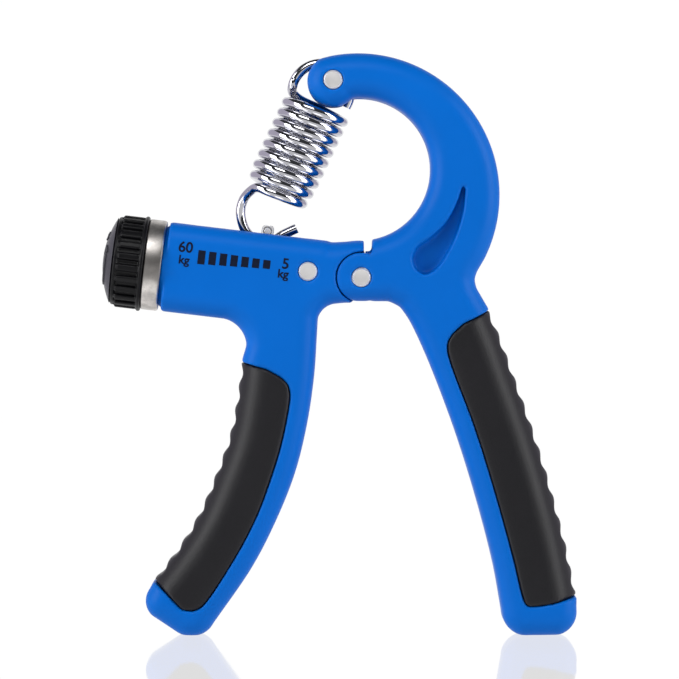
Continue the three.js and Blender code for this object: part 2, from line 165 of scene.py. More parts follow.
class Shader:
    """One material around a Principled shader, with helpers to add nodes."""

    def __init__(self, name, **constants):
        self.material = bpy.data.materials.new(name)
        self.material.use_nodes = True
        self.tree = self.material.node_tree
        self.principled = self.tree.nodes["Principled BSDF"]
        for key, value in constants.items():
            socket = self.principled.inputs[key.replace("_", " ").title().replace("Ior", "IOR")]
            socket.default_value = (*value, 1) if isinstance(value, (tuple, list)) else value

    def _put(self, socket, value):
        if isinstance(value, Socket):
            self.tree.links.new(value.socket, socket)
        elif hasattr(value, "__len__") and len(value) == 3 and socket.type == "RGBA":
            socket.default_value = (*value, 1)
        else:
            socket.default_value = value

    def node(self, kind, settings, inputs, output=0):
        """Adds a node: its settings first, then socket values or links."""
        node = self.tree.nodes.new(kind)
        stops = settings.pop("stops", None)
        for key, value in settings.items():
            setattr(node, key, value)
        if stops:
            ramp = node.color_ramp.elements
            for element, (place, value) in zip((ramp[0], ramp[1]), stops):
                element.position = place
                element.color = (value, value, value, 1)
        for key, value in inputs.items():
            self._put(node.inputs[key], value)
        return Socket(self, node.outputs[output])

    def place(self, scale=(1, 1, 1), turn=(0, 0, 0)):
        """Object coordinates, turned and stretched."""
        coords = self.node("ShaderNodeTexCoord", {}, {}, "Object")
        return self.node("ShaderNodeMapping", {}, {"Vector": coords, "Scale": scale, "Rotation": turn})

    def noise(self, where, scale, detail=3, rough=0.5):
        return self.node("ShaderNodeTexNoise", {}, {
            "Vector": where, "Scale": scale, "Detail": detail, "Roughness": rough}, "Fac")

    def ramp(self, value, low, high):
        """Maps value smoothly from low..high to 0..1."""
        return self.node("ShaderNodeMapRange", {"interpolation_type": "SMOOTHSTEP"},
                         {"Value": value, "From Min": low, "From Max": high})

    def mixed(self, factor, dark, light):
        """A colour between two, in a Mix node."""
        node = self.tree.nodes.new("ShaderNodeMix")
        node.data_type = "RGBA"
        for socket, value in ((node.inputs[0], factor), (node.inputs[6], dark), (node.inputs[7], light)):
            self._put(socket, value)
        return Socket(self, node.outputs[2])

    def bump(self, height, strength, distance):
        return self.node("ShaderNodeBump", {}, {"Strength": strength, "Distance": distance, "Height": height})

    def feed(self, **links):
        for key, value in links.items():
            self._put(self.principled.inputs[key.replace("_", " ")], value)
        return self.material


def scaled(colour, factor):
    return tuple(min(1.0, channel * factor) for channel in colour)


def plastic_material(colour):
    """Satin moulded plastic: spark-eroded grain, faint flow marks and rubbed patches."""
    shader = Shader("moulded_blue_plastic", ior=1.42, specular_ior_level=0.11)
    where = shader.place()
    grain = shader.noise(where, 2600, 2)
    flow = shader.noise(where, 38, 4, 0.6)
    rub = shader.ramp(shader.noise(where, 90, 5, 0.65), 0.52, 0.75)
    base = shader.mixed(flow, scaled(colour, 0.92), scaled(colour, 1.07))
    roughness = 0.36 + 0.07 * flow - 0.05 * rub + 0.05 * grain
    return shader.feed(Base_Color=base, Roughness=roughness,
                       Normal=shader.bump(grain, 0.18, 0.00004))


def rubber_material(colour):
    """Matt charcoal rubber with a fine sparkle grain, dust in the pores and worn lighter patches."""
    shader = Shader("grip_rubber", specular_ior_level=0.3)
    where = shader.place()
    pores = shader.noise(where, 1900, 3, 0.6)
    cloud = shader.noise(where, 60, 5, 0.6)
    specks = shader.ramp(shader.noise(where, 5200, 1), 0.70, 0.78)
    base = shader.mixed(cloud, scaled(colour, 0.8), scaled(colour, 1.35))
    base = shader.mixed(0.35 * specks, base, scaled(colour, 5))
    roughness = 0.38 + 0.10 * cloud + 0.06 * pores
    return shader.feed(Base_Color=base, Roughness=roughness,
                       Normal=shader.bump(pores, 0.45, 0.00006))


def knob_material(name, colour, roughness):
    """Fine black moulded plastic with a light grain."""
    shader = Shader(name, specular_ior_level=0.18)
    where = shader.place()
    grain = shader.noise(where, 2400, 2)
    cloud = shader.noise(where, 120, 4)
    base = shader.mixed(cloud, scaled(colour, 0.8), scaled(colour, 1.3))
    return shader.feed(Base_Color=base, Roughness=roughness + 0.1 * cloud,
                       Normal=shader.bump(grain, 0.25, 0.00005))


def collar_material(colour):
    """Satin nickel: grain drawn round the ring, and a painted dark reflection along a band at mid-height."""
    shader = Shader("satin_nickel", metallic=1.0)
    where = shader.place(turn=(0, -BARREL_TILT, 0))
    along = shader.place(scale=(2600, 160, 160), turn=(0, -BARREL_TILT, 0))
    lines = shader.noise(along, 1, 3)
    grit = shader.noise(where, 1500, 4, 0.7)
    cloud = shader.noise(where, 160, 4, 0.6)
    base = shader.mixed(shader.ramp(cloud, 0.35, 0.7), scaled(colour, 0.62), scaled(colour, 1.15))
    base = shader.mixed(0.5 * shader.ramp(grit, 0.55, 0.75), base, scaled(colour, 0.3))
    axis = PIVOT_MATRIX @ BARREL_ORIGIN
    offset = (shader.node("ShaderNodeSeparateXYZ", {}, {"Vector": where}, "Z")
              - (axis.x * math.sin(BARREL_TILT) + axis.z * math.cos(BARREL_TILT)))
    # Painted reflection: the ring is darkened along a band at mid-height, where the dark surroundings would be
    # mirrored.
    painted_reflection_band = 1 - shader.ramp(offset * offset, 0.000004, 0.00005)
    base = shader.mixed(0.8 * painted_reflection_band, base, scaled(colour, 0.22))
    return shader.feed(Base_Color=base, Roughness=0.30 + 0.16 * grit,
                       Normal=shader.bump(0.6 * grit + 0.4 * lines, 0.35, 0.00005))


def steel_material(colour):
    """Plated steel with faint clouding and hairline scratches."""
    shader = Shader("zinc_steel", metallic=0.55)
    where = shader.place()
    cloud = shader.noise(where, 220, 4, 0.6)
    scratches = shader.noise(shader.place(scale=(300, 300, 5200), turn=(0.3, 0.5, 0)), 1, 2)
    base = shader.mixed(cloud, scaled(colour, 0.85), scaled(colour, 1.1))
    return shader.feed(Base_Color=base, Roughness=0.30 + 0.12 * cloud,
                       Normal=shader.bump(scratches, 0.08, 0.00003))


def chrome_material(colour):
    """Bright spring plating: nearly mirror smooth, with light smears and faint pits."""
    shader = Shader("spring_chrome", metallic=1.0)
    where = shader.place()
    smear = shader.noise(where, 140, 4, 0.6)
    pits = shader.ramp(shader.noise(where, 900, 3), 0.62, 0.8)
    base = shader.mixed(smear, scaled(colour, 0.94), scaled(colour, 1.08))
    return shader.feed(Base_Color=base, Roughness=0.06 + 0.03 * smear + 0.02 * pits)


def ink_material(colour):
    """Pad-printed ink, slightly broken at the grain of the plastic."""
    shader = Shader("scale_ink", specular_ior_level=0.1)
    where = shader.place()
    grain = shader.noise(where, 2600, 2)
    base = shader.mixed(grain, scaled(colour, 0.7), scaled(colour, 1.5))
    return shader.feed(Base_Color=base, Roughness=0.42 + 0.1 * grain,
                       Normal=shader.bump(grain, 0.1, 0.00003))


def brass_material():
    shader = Shader("turned_brass", metallic=1.0)
    lines = shader.noise(shader.place(scale=(3000, 120, 120), turn=(0, -BARREL_TILT, 0)), 1, 2)
    base = shader.mixed(lines, (0.42, 0.29, 0.10), (0.60, 0.43, 0.18))
    return shader.feed(Base_Color=base, Roughness=0.24 + 0.14 * lines,
                       Normal=shader.bump(lines, 0.12, 0.00003))


def nylon_material():
    shader = Shader("natural_nylon", ior=1.53, subsurface_weight=0.15, subsurface_scale=0.001)
    grain = shader.noise(shader.place(), 1800, 3)
    base = shader.mixed(grain, (0.66, 0.64, 0.57), (0.78, 0.76, 0.70))
    return shader.feed(Base_Color=base, Roughness=0.42 + 0.1 * grain,
                       Normal=shader.bump(grain, 0.15, 0.00004))


MATERIALS = {}


def finish_of(name):
    """The named finish, made once from the scene's colours."""
    colours = bpy.context.scene.grip_colours
    makers = {
        "plastic": lambda: plastic_material(colours.plastic),
        "rubber": lambda: rubber_material(colours.rubber),
        "knob": lambda: knob_material("knob_black_plastic", colours.knob, 0.34),
        "cap": lambda: knob_material("knob_cap_plastic", colours.cap, 0.30),
        "nickel": lambda: collar_material(colours.nickel),
        "steel": lambda: steel_material(colours.steel),
        "chrome": lambda: chrome_material(colours.chrome),
        "ink": lambda: ink_material(colours.print_ink),
        "brass": brass_material,
        "nylon": nylon_material,
    }
    if name not in MATERIALS:
        MATERIALS[name] = makers[name]()
    return MATERIALS[name]


# ---- outlines ----

def arc(centre, radius, start, end, steps):
    """Points on a circle from one angle to another, in degrees."""
    return [(centre[0] + radius * math.cos(math.radians(start + (end - start) * i / steps)),
             centre[1] + radius * math.sin(math.radians(start + (end - start) * i / steps)))
            for i in range(steps + 1)]


def between(a, b, c, d, t):
    """A point on the Catmull-Rom curve from b to c."""
    return 0.5 * (2 * b + (c - a) * t + (2 * a - 5 * b + 4 * c - d) * t * t + (3 * b - a - 3 * c + d) * t ** 3)


def smooth(points, steps):
    """A Catmull-Rom curve through points, resampled evenly."""
    chain = [Vector(p) for p in points]
    chain = [2 * chain[0] - chain[1], *chain, 2 * chain[-1] - chain[-2]]
    dense = []
    for a, b, c, d in zip(chain, chain[1:], chain[2:], chain[3:]):
        dense += [between(a, b, c, d, i / 24) for i in range(24)]
    dense.append(chain[-2])
    lengths = [0.0]
    for p, q in zip(dense, dense[1:]):
        lengths.append(lengths[-1] + (q - p).length)
    result, k = [], 0
    for i in range(steps + 1):
        want = lengths[-1] * i / steps
        while k < len(dense) - 2 and lengths[k + 1] < want:
            k += 1
        share = (want - lengths[k]) / max(lengths[k + 1] - lengths[k], 1e-9)
        result.append(tuple(dense[k].lerp(dense[k + 1], min(share, 1))))
    return result


def shifted(points, distance):
    """A line moved sideways, to the left of its travel for a positive distance."""
    moved = []
    for i, point in enumerate(points):
        before, after = points[max(i - 1, 0)], points[min(i + 1, len(points) - 1)]
        length = math.dist(before, after)
        offset = distance(i / (len(points) - 1)) if callable(distance) else distance
        moved.append((point[0] - offset * (after[1] - before[1]) / length,
                      point[1] + offset * (after[0] - before[0]) / length))
    return moved


def barrel_point(along, above):
    """Front-view point of a place along the barrel and above its axis."""
    return (BARREL_ORIGIN.x + along * math.cos(BARREL_TILT) + above * math.sin(BARREL_TILT),
            BARREL_ORIGIN.z - along * math.sin(BARREL_TILT) + above * math.cos(BARREL_TILT))


THROUGH = (-30, 30)  # from in front of the handles to behind them
PIN_HOLE = 2.62
GRIP_CORE_WALL = 3.2


# ---- modelling helpers ----

def clear_selection():
    if bpy.context.object and bpy.context.object.mode != "OBJECT":
        bpy.ops.object.mode_set(mode="OBJECT")
    bpy.ops.object.select_all(action="DESELECT")


def choose(piece):
    clear_selection()
    piece.select_set(True)
    bpy.context.view_layer.objects.active = piece


def settle(piece, name, matrix=None):
    """Names a piece and applies its place to its mesh."""
    if matrix is not None:
        piece.matrix_world = matrix @ piece.matrix_world
    piece.name = name
    piece.data.name = name
    choose(piece)
    bpy.ops.object.transform_apply(location=True, rotation=True, scale=True)
    return piece


def face_outwards():
    """Turns all faces outwards and leaves edit mode."""
    bpy.ops.mesh.select_all(action="SELECT")
    bpy.ops.mesh.normals_make_consistent(inside=False)
    bpy.ops.object.mode_set(mode="OBJECT")


def tidy_mesh(piece, distance=1e-7):
    """Merges doubles and turns all faces outwards."""
    choose(piece)
    bpy.ops.object.mode_set(mode="EDIT")
    bpy.ops.mesh.select_all(action="SELECT")
    bpy.ops.mesh.remove_doubles(threshold=distance)
    face_outwards()


def apply_modifier(piece, kind, **settings):
    choose(piece)
    modifier = piece.modifiers.new(kind.lower(), kind)
    for key, value in settings.items():
        setattr(modifier, key, value)
    bpy.ops.object.modifier_apply(modifier=modifier.name)


def combine(piece, tool, operation="DIFFERENCE"):
    """Joins or cuts with another object, which is used up."""
    apply_modifier(piece, "BOOLEAN", object=tool, operation=operation, solver="MANIFOLD")
    bpy.data.objects.remove(tool)


def outline_face(name, outline):
    """A flat face in the front view, from a circle whose points are moved to the outline."""
    clear_selection()
    bpy.ops.mesh.primitive_circle_add(vertices=len(outline), radius=1, fill_type="NGON")
    piece = bpy.context.object
    piece.name = name
    for vertex, (x, z) in zip(piece.data.vertices, outline):
        vertex.co = (x, 0, z)
    return piece


def prism(name, outline, low, high):
    """An outline extruded from y = low to y = high."""
    piece = outline_face(name, outline)
    choose(piece)
    bpy.ops.object.mode_set(mode="EDIT")
    bpy.ops.mesh.select_all(action="SELECT")
    bpy.ops.transform.translate(value=(0, low, 0))
    bpy.ops.mesh.extrude_region_move(TRANSFORM_OT_translate={"value": (0, high - low, 0)})
    face_outwards()
    return settle(piece, name, PIVOT_MATRIX)


def through_points(places):
    """Gives the curve that was just added one straight-sided line through places."""
    piece = bpy.context.object
    piece.data.splines.clear()
    spline = piece.data.splines.new("POLY")
    spline.points.add(len(places) - 1)
    for point, place in zip(spline.points, places):
        point.co = (*place, 1)
    return piece, piece.data, spline


def rounded_plate(name, outline, thickness, edge):
    """A plate with its outline drawn as a flat curve, extruded and rounded up to the outline."""
    clear_selection()
    bpy.ops.curve.primitive_bezier_circle_add(radius=1)
    piece, curve, spline = through_points([(x, z, 0) for x, z in outline])
    spline.use_cyclic_u = True
    curve.dimensions = "2D"
    curve.fill_mode = "BOTH"
    curve.extrude = thickness / 2 - edge
    curve.bevel_depth = edge
    curve.bevel_resolution = 8
    curve.offset = -edge
    choose(piece)
    bpy.ops.object.convert(target="MESH")
    piece = bpy.context.object
    piece.rotation_euler = (math.pi / 2, 0, 0)
    bpy.context.view_layer.update()
    settle(piece, name, PIVOT_MATRIX)
    tidy_mesh(piece)
    apply_modifier(piece, "REMESH", mode="VOXEL", voxel_size=0.4 * MM)
    return piece


def cross_cylinder(centre, radius, low, high, vertices=64):
    """A cylinder along y, centred on a front-view point."""
    clear_selection()
    bpy.ops.mesh.primitive_cylinder_add(
        vertices=vertices, radius=radius, depth=high - low,
        location=(centre[0], (low + high) / 2, centre[1]), rotation=(math.pi / 2, 0, 0))
    return settle(bpy.context.object, "cylinder", PIVOT_MATRIX)


def rectangle(x0, z0, x1, z1):
    return [(x0, z0), (x1, z0), (x1, z1), (x0, z1)]


def barrel_box(low, high):
    """A box in the barrel's own frame: along, across and above its axis."""
    clear_selection()
    middle = [(a + b) / 2 for a, b in zip(low, high)]
    bpy.ops.mesh.primitive_cube_add(size=1, location=middle)
    piece = bpy.context.object
    piece.scale = [b - a for a, b in zip(low, high)]
    bpy.context.view_layer.update()
    return settle(piece, "box", BARREL_MATRIX)


def turned(name, profile, steps=96, matrix=BARREL_MATRIX):
    """Spins a profile of (radius, distance along x) points about the x axis."""
    clear_selection()
    bpy.ops.mesh.primitive_circle_add(vertices=len(profile), radius=1, fill_type="NOTHING")
    piece = bpy.context.object
    for vertex, (radius, along) in zip(piece.data.vertices, profile):
        vertex.co = (along, 0, radius)
    choose(piece)
    on_axis = {i for i, (radius, _) in enumerate(profile) if radius == 0}
    bpy.ops.object.mode_set(mode="EDIT")
    bpy.ops.mesh.select_all(action="DESELECT")
    bpy.ops.object.mode_set(mode="OBJECT")
    axial = [edge for edge in piece.data.edges if set(edge.vertices) <= on_axis]
    for edge in axial:
        edge.select = True
    bpy.ops.object.mode_set(mode="EDIT")
    if axial:
        bpy.ops.mesh.select_mode(type="EDGE")
        bpy.ops.mesh.delete(type="EDGE_FACE")
        bpy.ops.mesh.select_mode(type="VERT")
    bpy.ops.mesh.select_all(action="SELECT")
    bpy.ops.mesh.spin(steps=steps, angle=2 * math.pi, center=(0, 0, 0), axis=(1, 0, 0))
    bpy.ops.mesh.select_all(action="SELECT")
    bpy.ops.mesh.remove_doubles(threshold=1e-4)
    bpy.ops.mesh.dissolve_degenerate(threshold=1e-4)
    face_outwards()
    return settle(piece, name, matrix)


def rod(radius, low, high, steps=64, matrix=BARREL_MATRIX):
    return turned("rod", [(0, low), (radius, low), (radius, high), (0, high)], steps, matrix)


def cross_matrix(centre):
    """Local x turned to lie along y, at a front-view point."""
    return PIVOT_MATRIX @ Matrix.Translation((centre[0], 0, centre[1])) @ Matrix.Rotation(math.pi / 2, 4, "Z")


def moulded(piece, voxel, passes=5):
    """Gives a cut piece one even skin with softly broken edges, like a moulding."""
    apply_modifier(piece, "REMESH", mode="VOXEL", voxel_size=voxel * MM, use_smooth_shade=True)
    apply_modifier(piece, "SMOOTH", factor=0.5, iterations=passes)
    choose(piece)
    bpy.ops.object.shade_smooth()


def joined(pieces):
    clear_selection()
    for piece in pieces:
        piece.select_set(True)
    bpy.context.view_layer.objects.active = pieces[0]
    bpy.ops.object.join()
    return bpy.context.object


def complete(piece, name, finish, body=None, nodes=()):
    """Names a piece, gives its finish and hands it to the frame."""
    piece.name = name
    piece.data.name = name
    piece.data.materials.clear()
    piece.data.materials.append(finish_of(finish))
    if body:
        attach(piece, body)
    if nodes:
        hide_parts(*nodes)
    return piece


def smooth_by_angle(piece, degrees=35):
    choose(piece)
    bpy.ops.object.shade_smooth_by_angle(angle=math.radians(degrees))


# ---- handles and grips ----

LEFT_OUTER = [(-32.0, -22.6), (-33.1, -31), (-35.2, -42), (-39.2, -53.3), (-43.4, -63), (-48.6, -71.8),
              (-55.2, -80.6)]
LEFT_GRIP_INNER = [(-47.6, -88.4), (-44.2, -88.6), (-41.3, -86.4), (-37, -80.1), (-31.9, -71.6),
                   (-27.6, -63), (-24.4, -54.4), (-21.7, -45.8), (-19.8, -37.3), (-19, -30.8),
                   (-20.7, -27.3), (-25.5, -24.4)]
LEFT_INNER_EDGE = [(-11.8, -14.5), (-12.6, -26.5), (-14.5, -39.4), (-17.7, -52.3), (-22.8, -65.1),
                   (-29.5, -78), (-39.6, -92.6)]
RIGHT_OUTER = [(34.2, -8.8), (37.6, -17), (41, -26.5), (44.8, -37), (48.4, -48), (51.6, -59),
               (54.6, -70.5), (57.6, -84.8)]
RIGHT_GRIP_INNER = [(52, -86.6), (46.2, -87.4), (43.4, -86.2), (40.2, -73.7), (35.4, -56.5), (30, -39.4),
                    (23.6, -22.2), (23.4, -16.6), (27.2, -12.4)]
RIGHT_INNER_EDGE = [(10.4, -7.9), (13.6, -12.8), (18.8, -24.4), (25.2, -41.5), (30.6, -58.7),
                    (35.1, -75.8), (37.6, -89.2)]
RECESS = [(29.0, 29.6), (26.4, 21.6), (22.7, 15.2), (17.2, 10.2), (12.7, 7.2), (11.1, 3.6), (12.3, 0.0),
          (15.8, -1.5), (19.9, 0.9), (23.7, 6.2), (26.6, 12.4), (28.5, 18.9), (29.2, 26.0)]


def left_outline():
    crotch = arc((-38.4, -18.6), 7.8, 75, 4, 12)
    radius = 11.95
    return [
        (8, 9.9), (8, -6.8), (-4.4, -6.8), *arc((-6.4, -12.4), 5.4, 90, 165, 10), *smooth(LEFT_INNER_EDGE, 48),
        *arc((-45.4, -88.9), 7.0, -42, -128, 14), *arc((-52.2, -86.4), 5.4, 225, 140, 12),
        *reversed(smooth(LEFT_OUTER, 48)), *reversed(crotch),
        barrel_point(6, -radius), barrel_point(-12, -radius), barrel_point(-12, radius), barrel_point(40, radius),
        (-8.3, 9.3), (-4.3, 9.5), (-1.5, 9.8),
    ]


def right_outline():
    points = [
        (-10, 9.9), *arc((-0.5, 28.8), 19, -79.8, 96, 72), *arc((-7.5, 52.3), 6.9, -46, -240, 42),
        *arc((-0.9, 21.9), 37.8, 101, -27, 72), (30.8, 1.4), (30.2, -0.6), (30.7, -2.8),
        *smooth(RIGHT_OUTER, 48), *arc((51.2, -89.3), 6.4, 10, -75, 14), *arc((44.4, -88.9), 6.9, -97, -165, 12),
        *reversed(smooth(RIGHT_INNER_EDGE, 48)), (7.4, -6.4), (-10, -6.4),
    ]
    return list(reversed(points))


def grip_outlines(outer, inner, side, scallops, depth, seam):
    """The cover, the pocket cut for it, and the core under it, as outlines."""
    inner = smooth(inner, 72)
    crest = shifted(smooth(outer, scallops * 16),
                    lambda t: -side * depth / 2 * (1 - math.cos(2 * math.pi * scallops * t)))
    line = smooth(outer, 40)
    top = inner[-1]
    reach = 1 + 3 / math.dist(line[0], top)
    corner = (top[0] + reach * (line[0][0] - top[0]), top[1] + reach * (line[0][1] - top[1]) + seam)
    core_outer = shifted(line, -side * (3.2 + depth))
    return {
        "cover": crest + inner,
        "pocket": [corner, *shifted(line, side * 3)[1:], *shifted(inner, side * seam)],
        "core": [(core_outer[0][0] - side * 2, core_outer[0][1] + 7), *core_outer,
                 *shifted(inner, side * 3.5)[::3]],
    }


def lengthened(points, reach):
    """A line carried on straight at both ends."""
    ends = []
    for last, before in ((points[0], points[1]), (points[-1], points[-2])):
        scale = reach / math.dist(last, before)
        ends.append((last[0] + scale * (last[0] - before[0]), last[1] + scale * (last[1] - before[1])))
    return [ends[0], *points, ends[1]]


def grip_cover(name, outer, inner_edge, outlines, sizes):
    """The rubber: a well-rounded arm, cut to the cover's outline and hollowed for the core."""
    half = sizes.plate / 2
    strip = [*lengthened(smooth(outer, 40), 16), *reversed(lengthened(smooth(inner_edge, 40), 9))]
    cover = rounded_plate(name, strip, sizes.plate + 2 * sizes.proud, sizes.grip_edge)
    combine(cover, prism("cover_limit", outlines["cover"], -2 * half, 2 * half), "INTERSECT")
    combine(cover, prism("core_room", outlines["core"], -half + 3.1, half - 3.1))
    combine(cover, prism("floor_cut", rectangle(-80, -120, 80, FOOT_Z), -2 * half, 2 * half))
    moulded(cover, sizes.voxel, 6)
    return cover


def both_faces(piece, outline, inner):
    """Cuts the same outline into the front and the back, from y = inner outwards."""
    combine(piece, prism("front_cut", outline, -30, -inner))
    combine(piece, prism("back_cut", outline, inner, 30))


class GRIP_OT_left_handle(bpy.types.Operator):
    """Builds the left handle: barrel with its spring channel, pivot tongue and grip arm"""
    bl_idname = "grip.left_handle"
    bl_label = "Left handle"

    def execute(self, context):
        sizes = context.scene.grip_sizes
        half = sizes.plate / 2
        outlines = grip_outlines(LEFT_OUTER, LEFT_GRIP_INNER, -1, 10, sizes.scallop, sizes.seam)
        body = rounded_plate("left_handle_body", left_outline(), sizes.plate, sizes.edge)
        combine(body, prism("lip_cut", rectangle(0.7, -12, 12, 14), *THROUGH))
        combine(body, prism("under_cut", rectangle(-2.6, -12, 12, -5), *THROUGH))
        combine(body, barrel_box((-30, -30, -30), (BARREL_END, 30, 30)))
        both_faces(body, arc((0, 0), 6.8, 0, 357, 119), TONGUE_HALF)
        combine(body, prism("pocket", outlines["pocket"], *THROUGH))
        combine(body, prism("core", outlines["core"], GRIP_CORE_WALL - half, half - GRIP_CORE_WALL), "UNION")
        combine(body, cross_cylinder((0, 0), 6.3, -TONGUE_HALF, TONGUE_HALF, 96), "UNION")
        combine(body, rod(10.7, BARREL_END - 1.2, BARREL_END + 3, 96), "UNION")
        combine(body, rod(7.7, BARREL_END - 4.1, BARREL_END), "UNION")
        combine(body, rod(3.3, -8, SCREW_END + 0.6))
        combine(body, rod(5.3, -8, 1.5))
        combine(body, barrel_box((3.2, -4.6, -4.6), (29.8, 4.6, 20)))
        combine(body, barrel_box((3.2, -4.6, 6), (34.2, 4.6, 20)))
        for radius, low, high in ((PIN_HOLE, -30, -half + 1.4), (PIN_HOLE, half - 1.4, 30), (1.7, *THROUGH)):
            combine(body, cross_cylinder(barrel_point(*RETAINING_PIN), radius, low, high))
        combine(body, cross_cylinder((0, 0), 4.4, *THROUGH))
        combine(body, prism("floor_cut", rectangle(-80, -120, 80, FOOT_Z), *THROUGH))
        moulded(body, sizes.voxel)
        complete(body, "left_handle_body", "plastic", "left_handle", ["left_handle"])
        return {"FINISHED"}


class GRIP_OT_right_handle(bpy.types.Operator):
    """Builds the right handle: curved arm with its forked tip, knuckle cheeks, recesses and grip arm"""
    bl_idname = "grip.right_handle"
    bl_label = "Right handle"

    def execute(self, context):
        sizes = context.scene.grip_sizes
        half = sizes.plate / 2
        outlines = grip_outlines(RIGHT_OUTER, RIGHT_GRIP_INNER, 1, 12, sizes.scallop, sizes.seam)
        body = rounded_plate("right_handle_body", right_outline(), sizes.plate, sizes.edge)
        combine(body, prism("pocket", outlines["pocket"], *THROUGH))
        combine(body, prism("core", outlines["core"], GRIP_CORE_WALL - half, half - GRIP_CORE_WALL), "UNION")
        for low, high in ((-30, -TONGUE_HALF - 0.6), (TONGUE_HALF + 0.6, 30)):
            surround = prism("surround", rectangle(-14, -14, 2.9, 14), low, high)
            combine(surround, cross_cylinder((0, 0), 6.57, low - 5, high + 5, 96))
            combine(body, surround)
        combine(body, cross_cylinder((0, 0), 6.7, -CHEEK_INNER, CHEEK_INNER, 96))
        combine(body, prism("tongue_room", rectangle(-14, -14, 1.05, 14), -CHEEK_INNER, CHEEK_INNER))
        notch = [(0.7, 14), (0.7, 7.4), *arc((1.9, 7.9), 1.05, 205, 335, 12), (2.9, 14)]
        combine(body, prism("notch", notch, *THROUGH))
        combine(body, cross_cylinder(TOP_LOOP[0], 11, -1.8, 1.8, 96))
        combine(body, cross_cylinder((0, 0), PIN_HOLE, *THROUGH))
        combine(body, cross_cylinder(TOP_PIN, PIN_HOLE, *THROUGH))
        for side in (-1, 1):
            combine(body, recess_tool(side, half))
        combine(body, prism("floor_cut", rectangle(-80, -120, 80, FOOT_Z), *THROUGH))
        moulded(body, sizes.voxel)
        complete(body, "right_handle_body", "plastic", "right_handle", ["right_handle"])
        return {"FINISHED"}


def recess_tool(side, half):
    """The drop-shaped pocket's volume, its floor smaller than its mouth."""
    mouth, depth = smooth([*RECESS, RECESS[0]], 60)[:-1], 3.6
    tool = prism("recess", mouth, side * (half + 0.2), side * (half - depth))
    floor_y = side * (half - depth) * MM
    bottom = [v for v in tool.data.vertices if abs(v.co.y - floor_y) < 1e-6]
    centre = sum((v.co for v in bottom), Vector()) / len(bottom)
    choose(tool)
    for vertex in tool.data.vertices:
        vertex.select = False
    for polygon in tool.data.polygons:
        polygon.select = all(abs(tool.data.vertices[i].co.y - floor_y) < 1e-6 for i in polygon.vertices)
    bpy.ops.object.mode_set(mode="EDIT")
    bpy.ops.mesh.select_mode(type="FACE")
    bpy.ops.transform.resize(value=(0.78, 1, 0.84), center_override=centre)
    bpy.ops.mesh.select_mode(type="VERT")
    bpy.ops.object.mode_set(mode="OBJECT")
    return tool


class GRIP_OT_grips(bpy.types.Operator):
    """Moulds the two ribbed rubber grips over the handles"""
    bl_idname = "grip.grips"
    bl_label = "Rubber grips"

    def execute(self, context):
        sizes = context.scene.grip_sizes
        for side, edge, outer, inner, sign, scallops in (
                ("left", LEFT_INNER_EDGE, LEFT_OUTER, LEFT_GRIP_INNER, -1, 10),
                ("right", RIGHT_INNER_EDGE, RIGHT_OUTER, RIGHT_GRIP_INNER, 1, 12)):
            outlines = grip_outlines(outer, inner, sign, scallops, sizes.scallop, sizes.seam)
            cover = grip_cover(f"{side}_grip_rubber", outer, edge, outlines, sizes)
            complete(cover, f"{side}_grip_rubber", "rubber", f"{side}_handle", [f"{side}_grip"])
        return {"FINISHED"}


# ---- knob and barrel ----

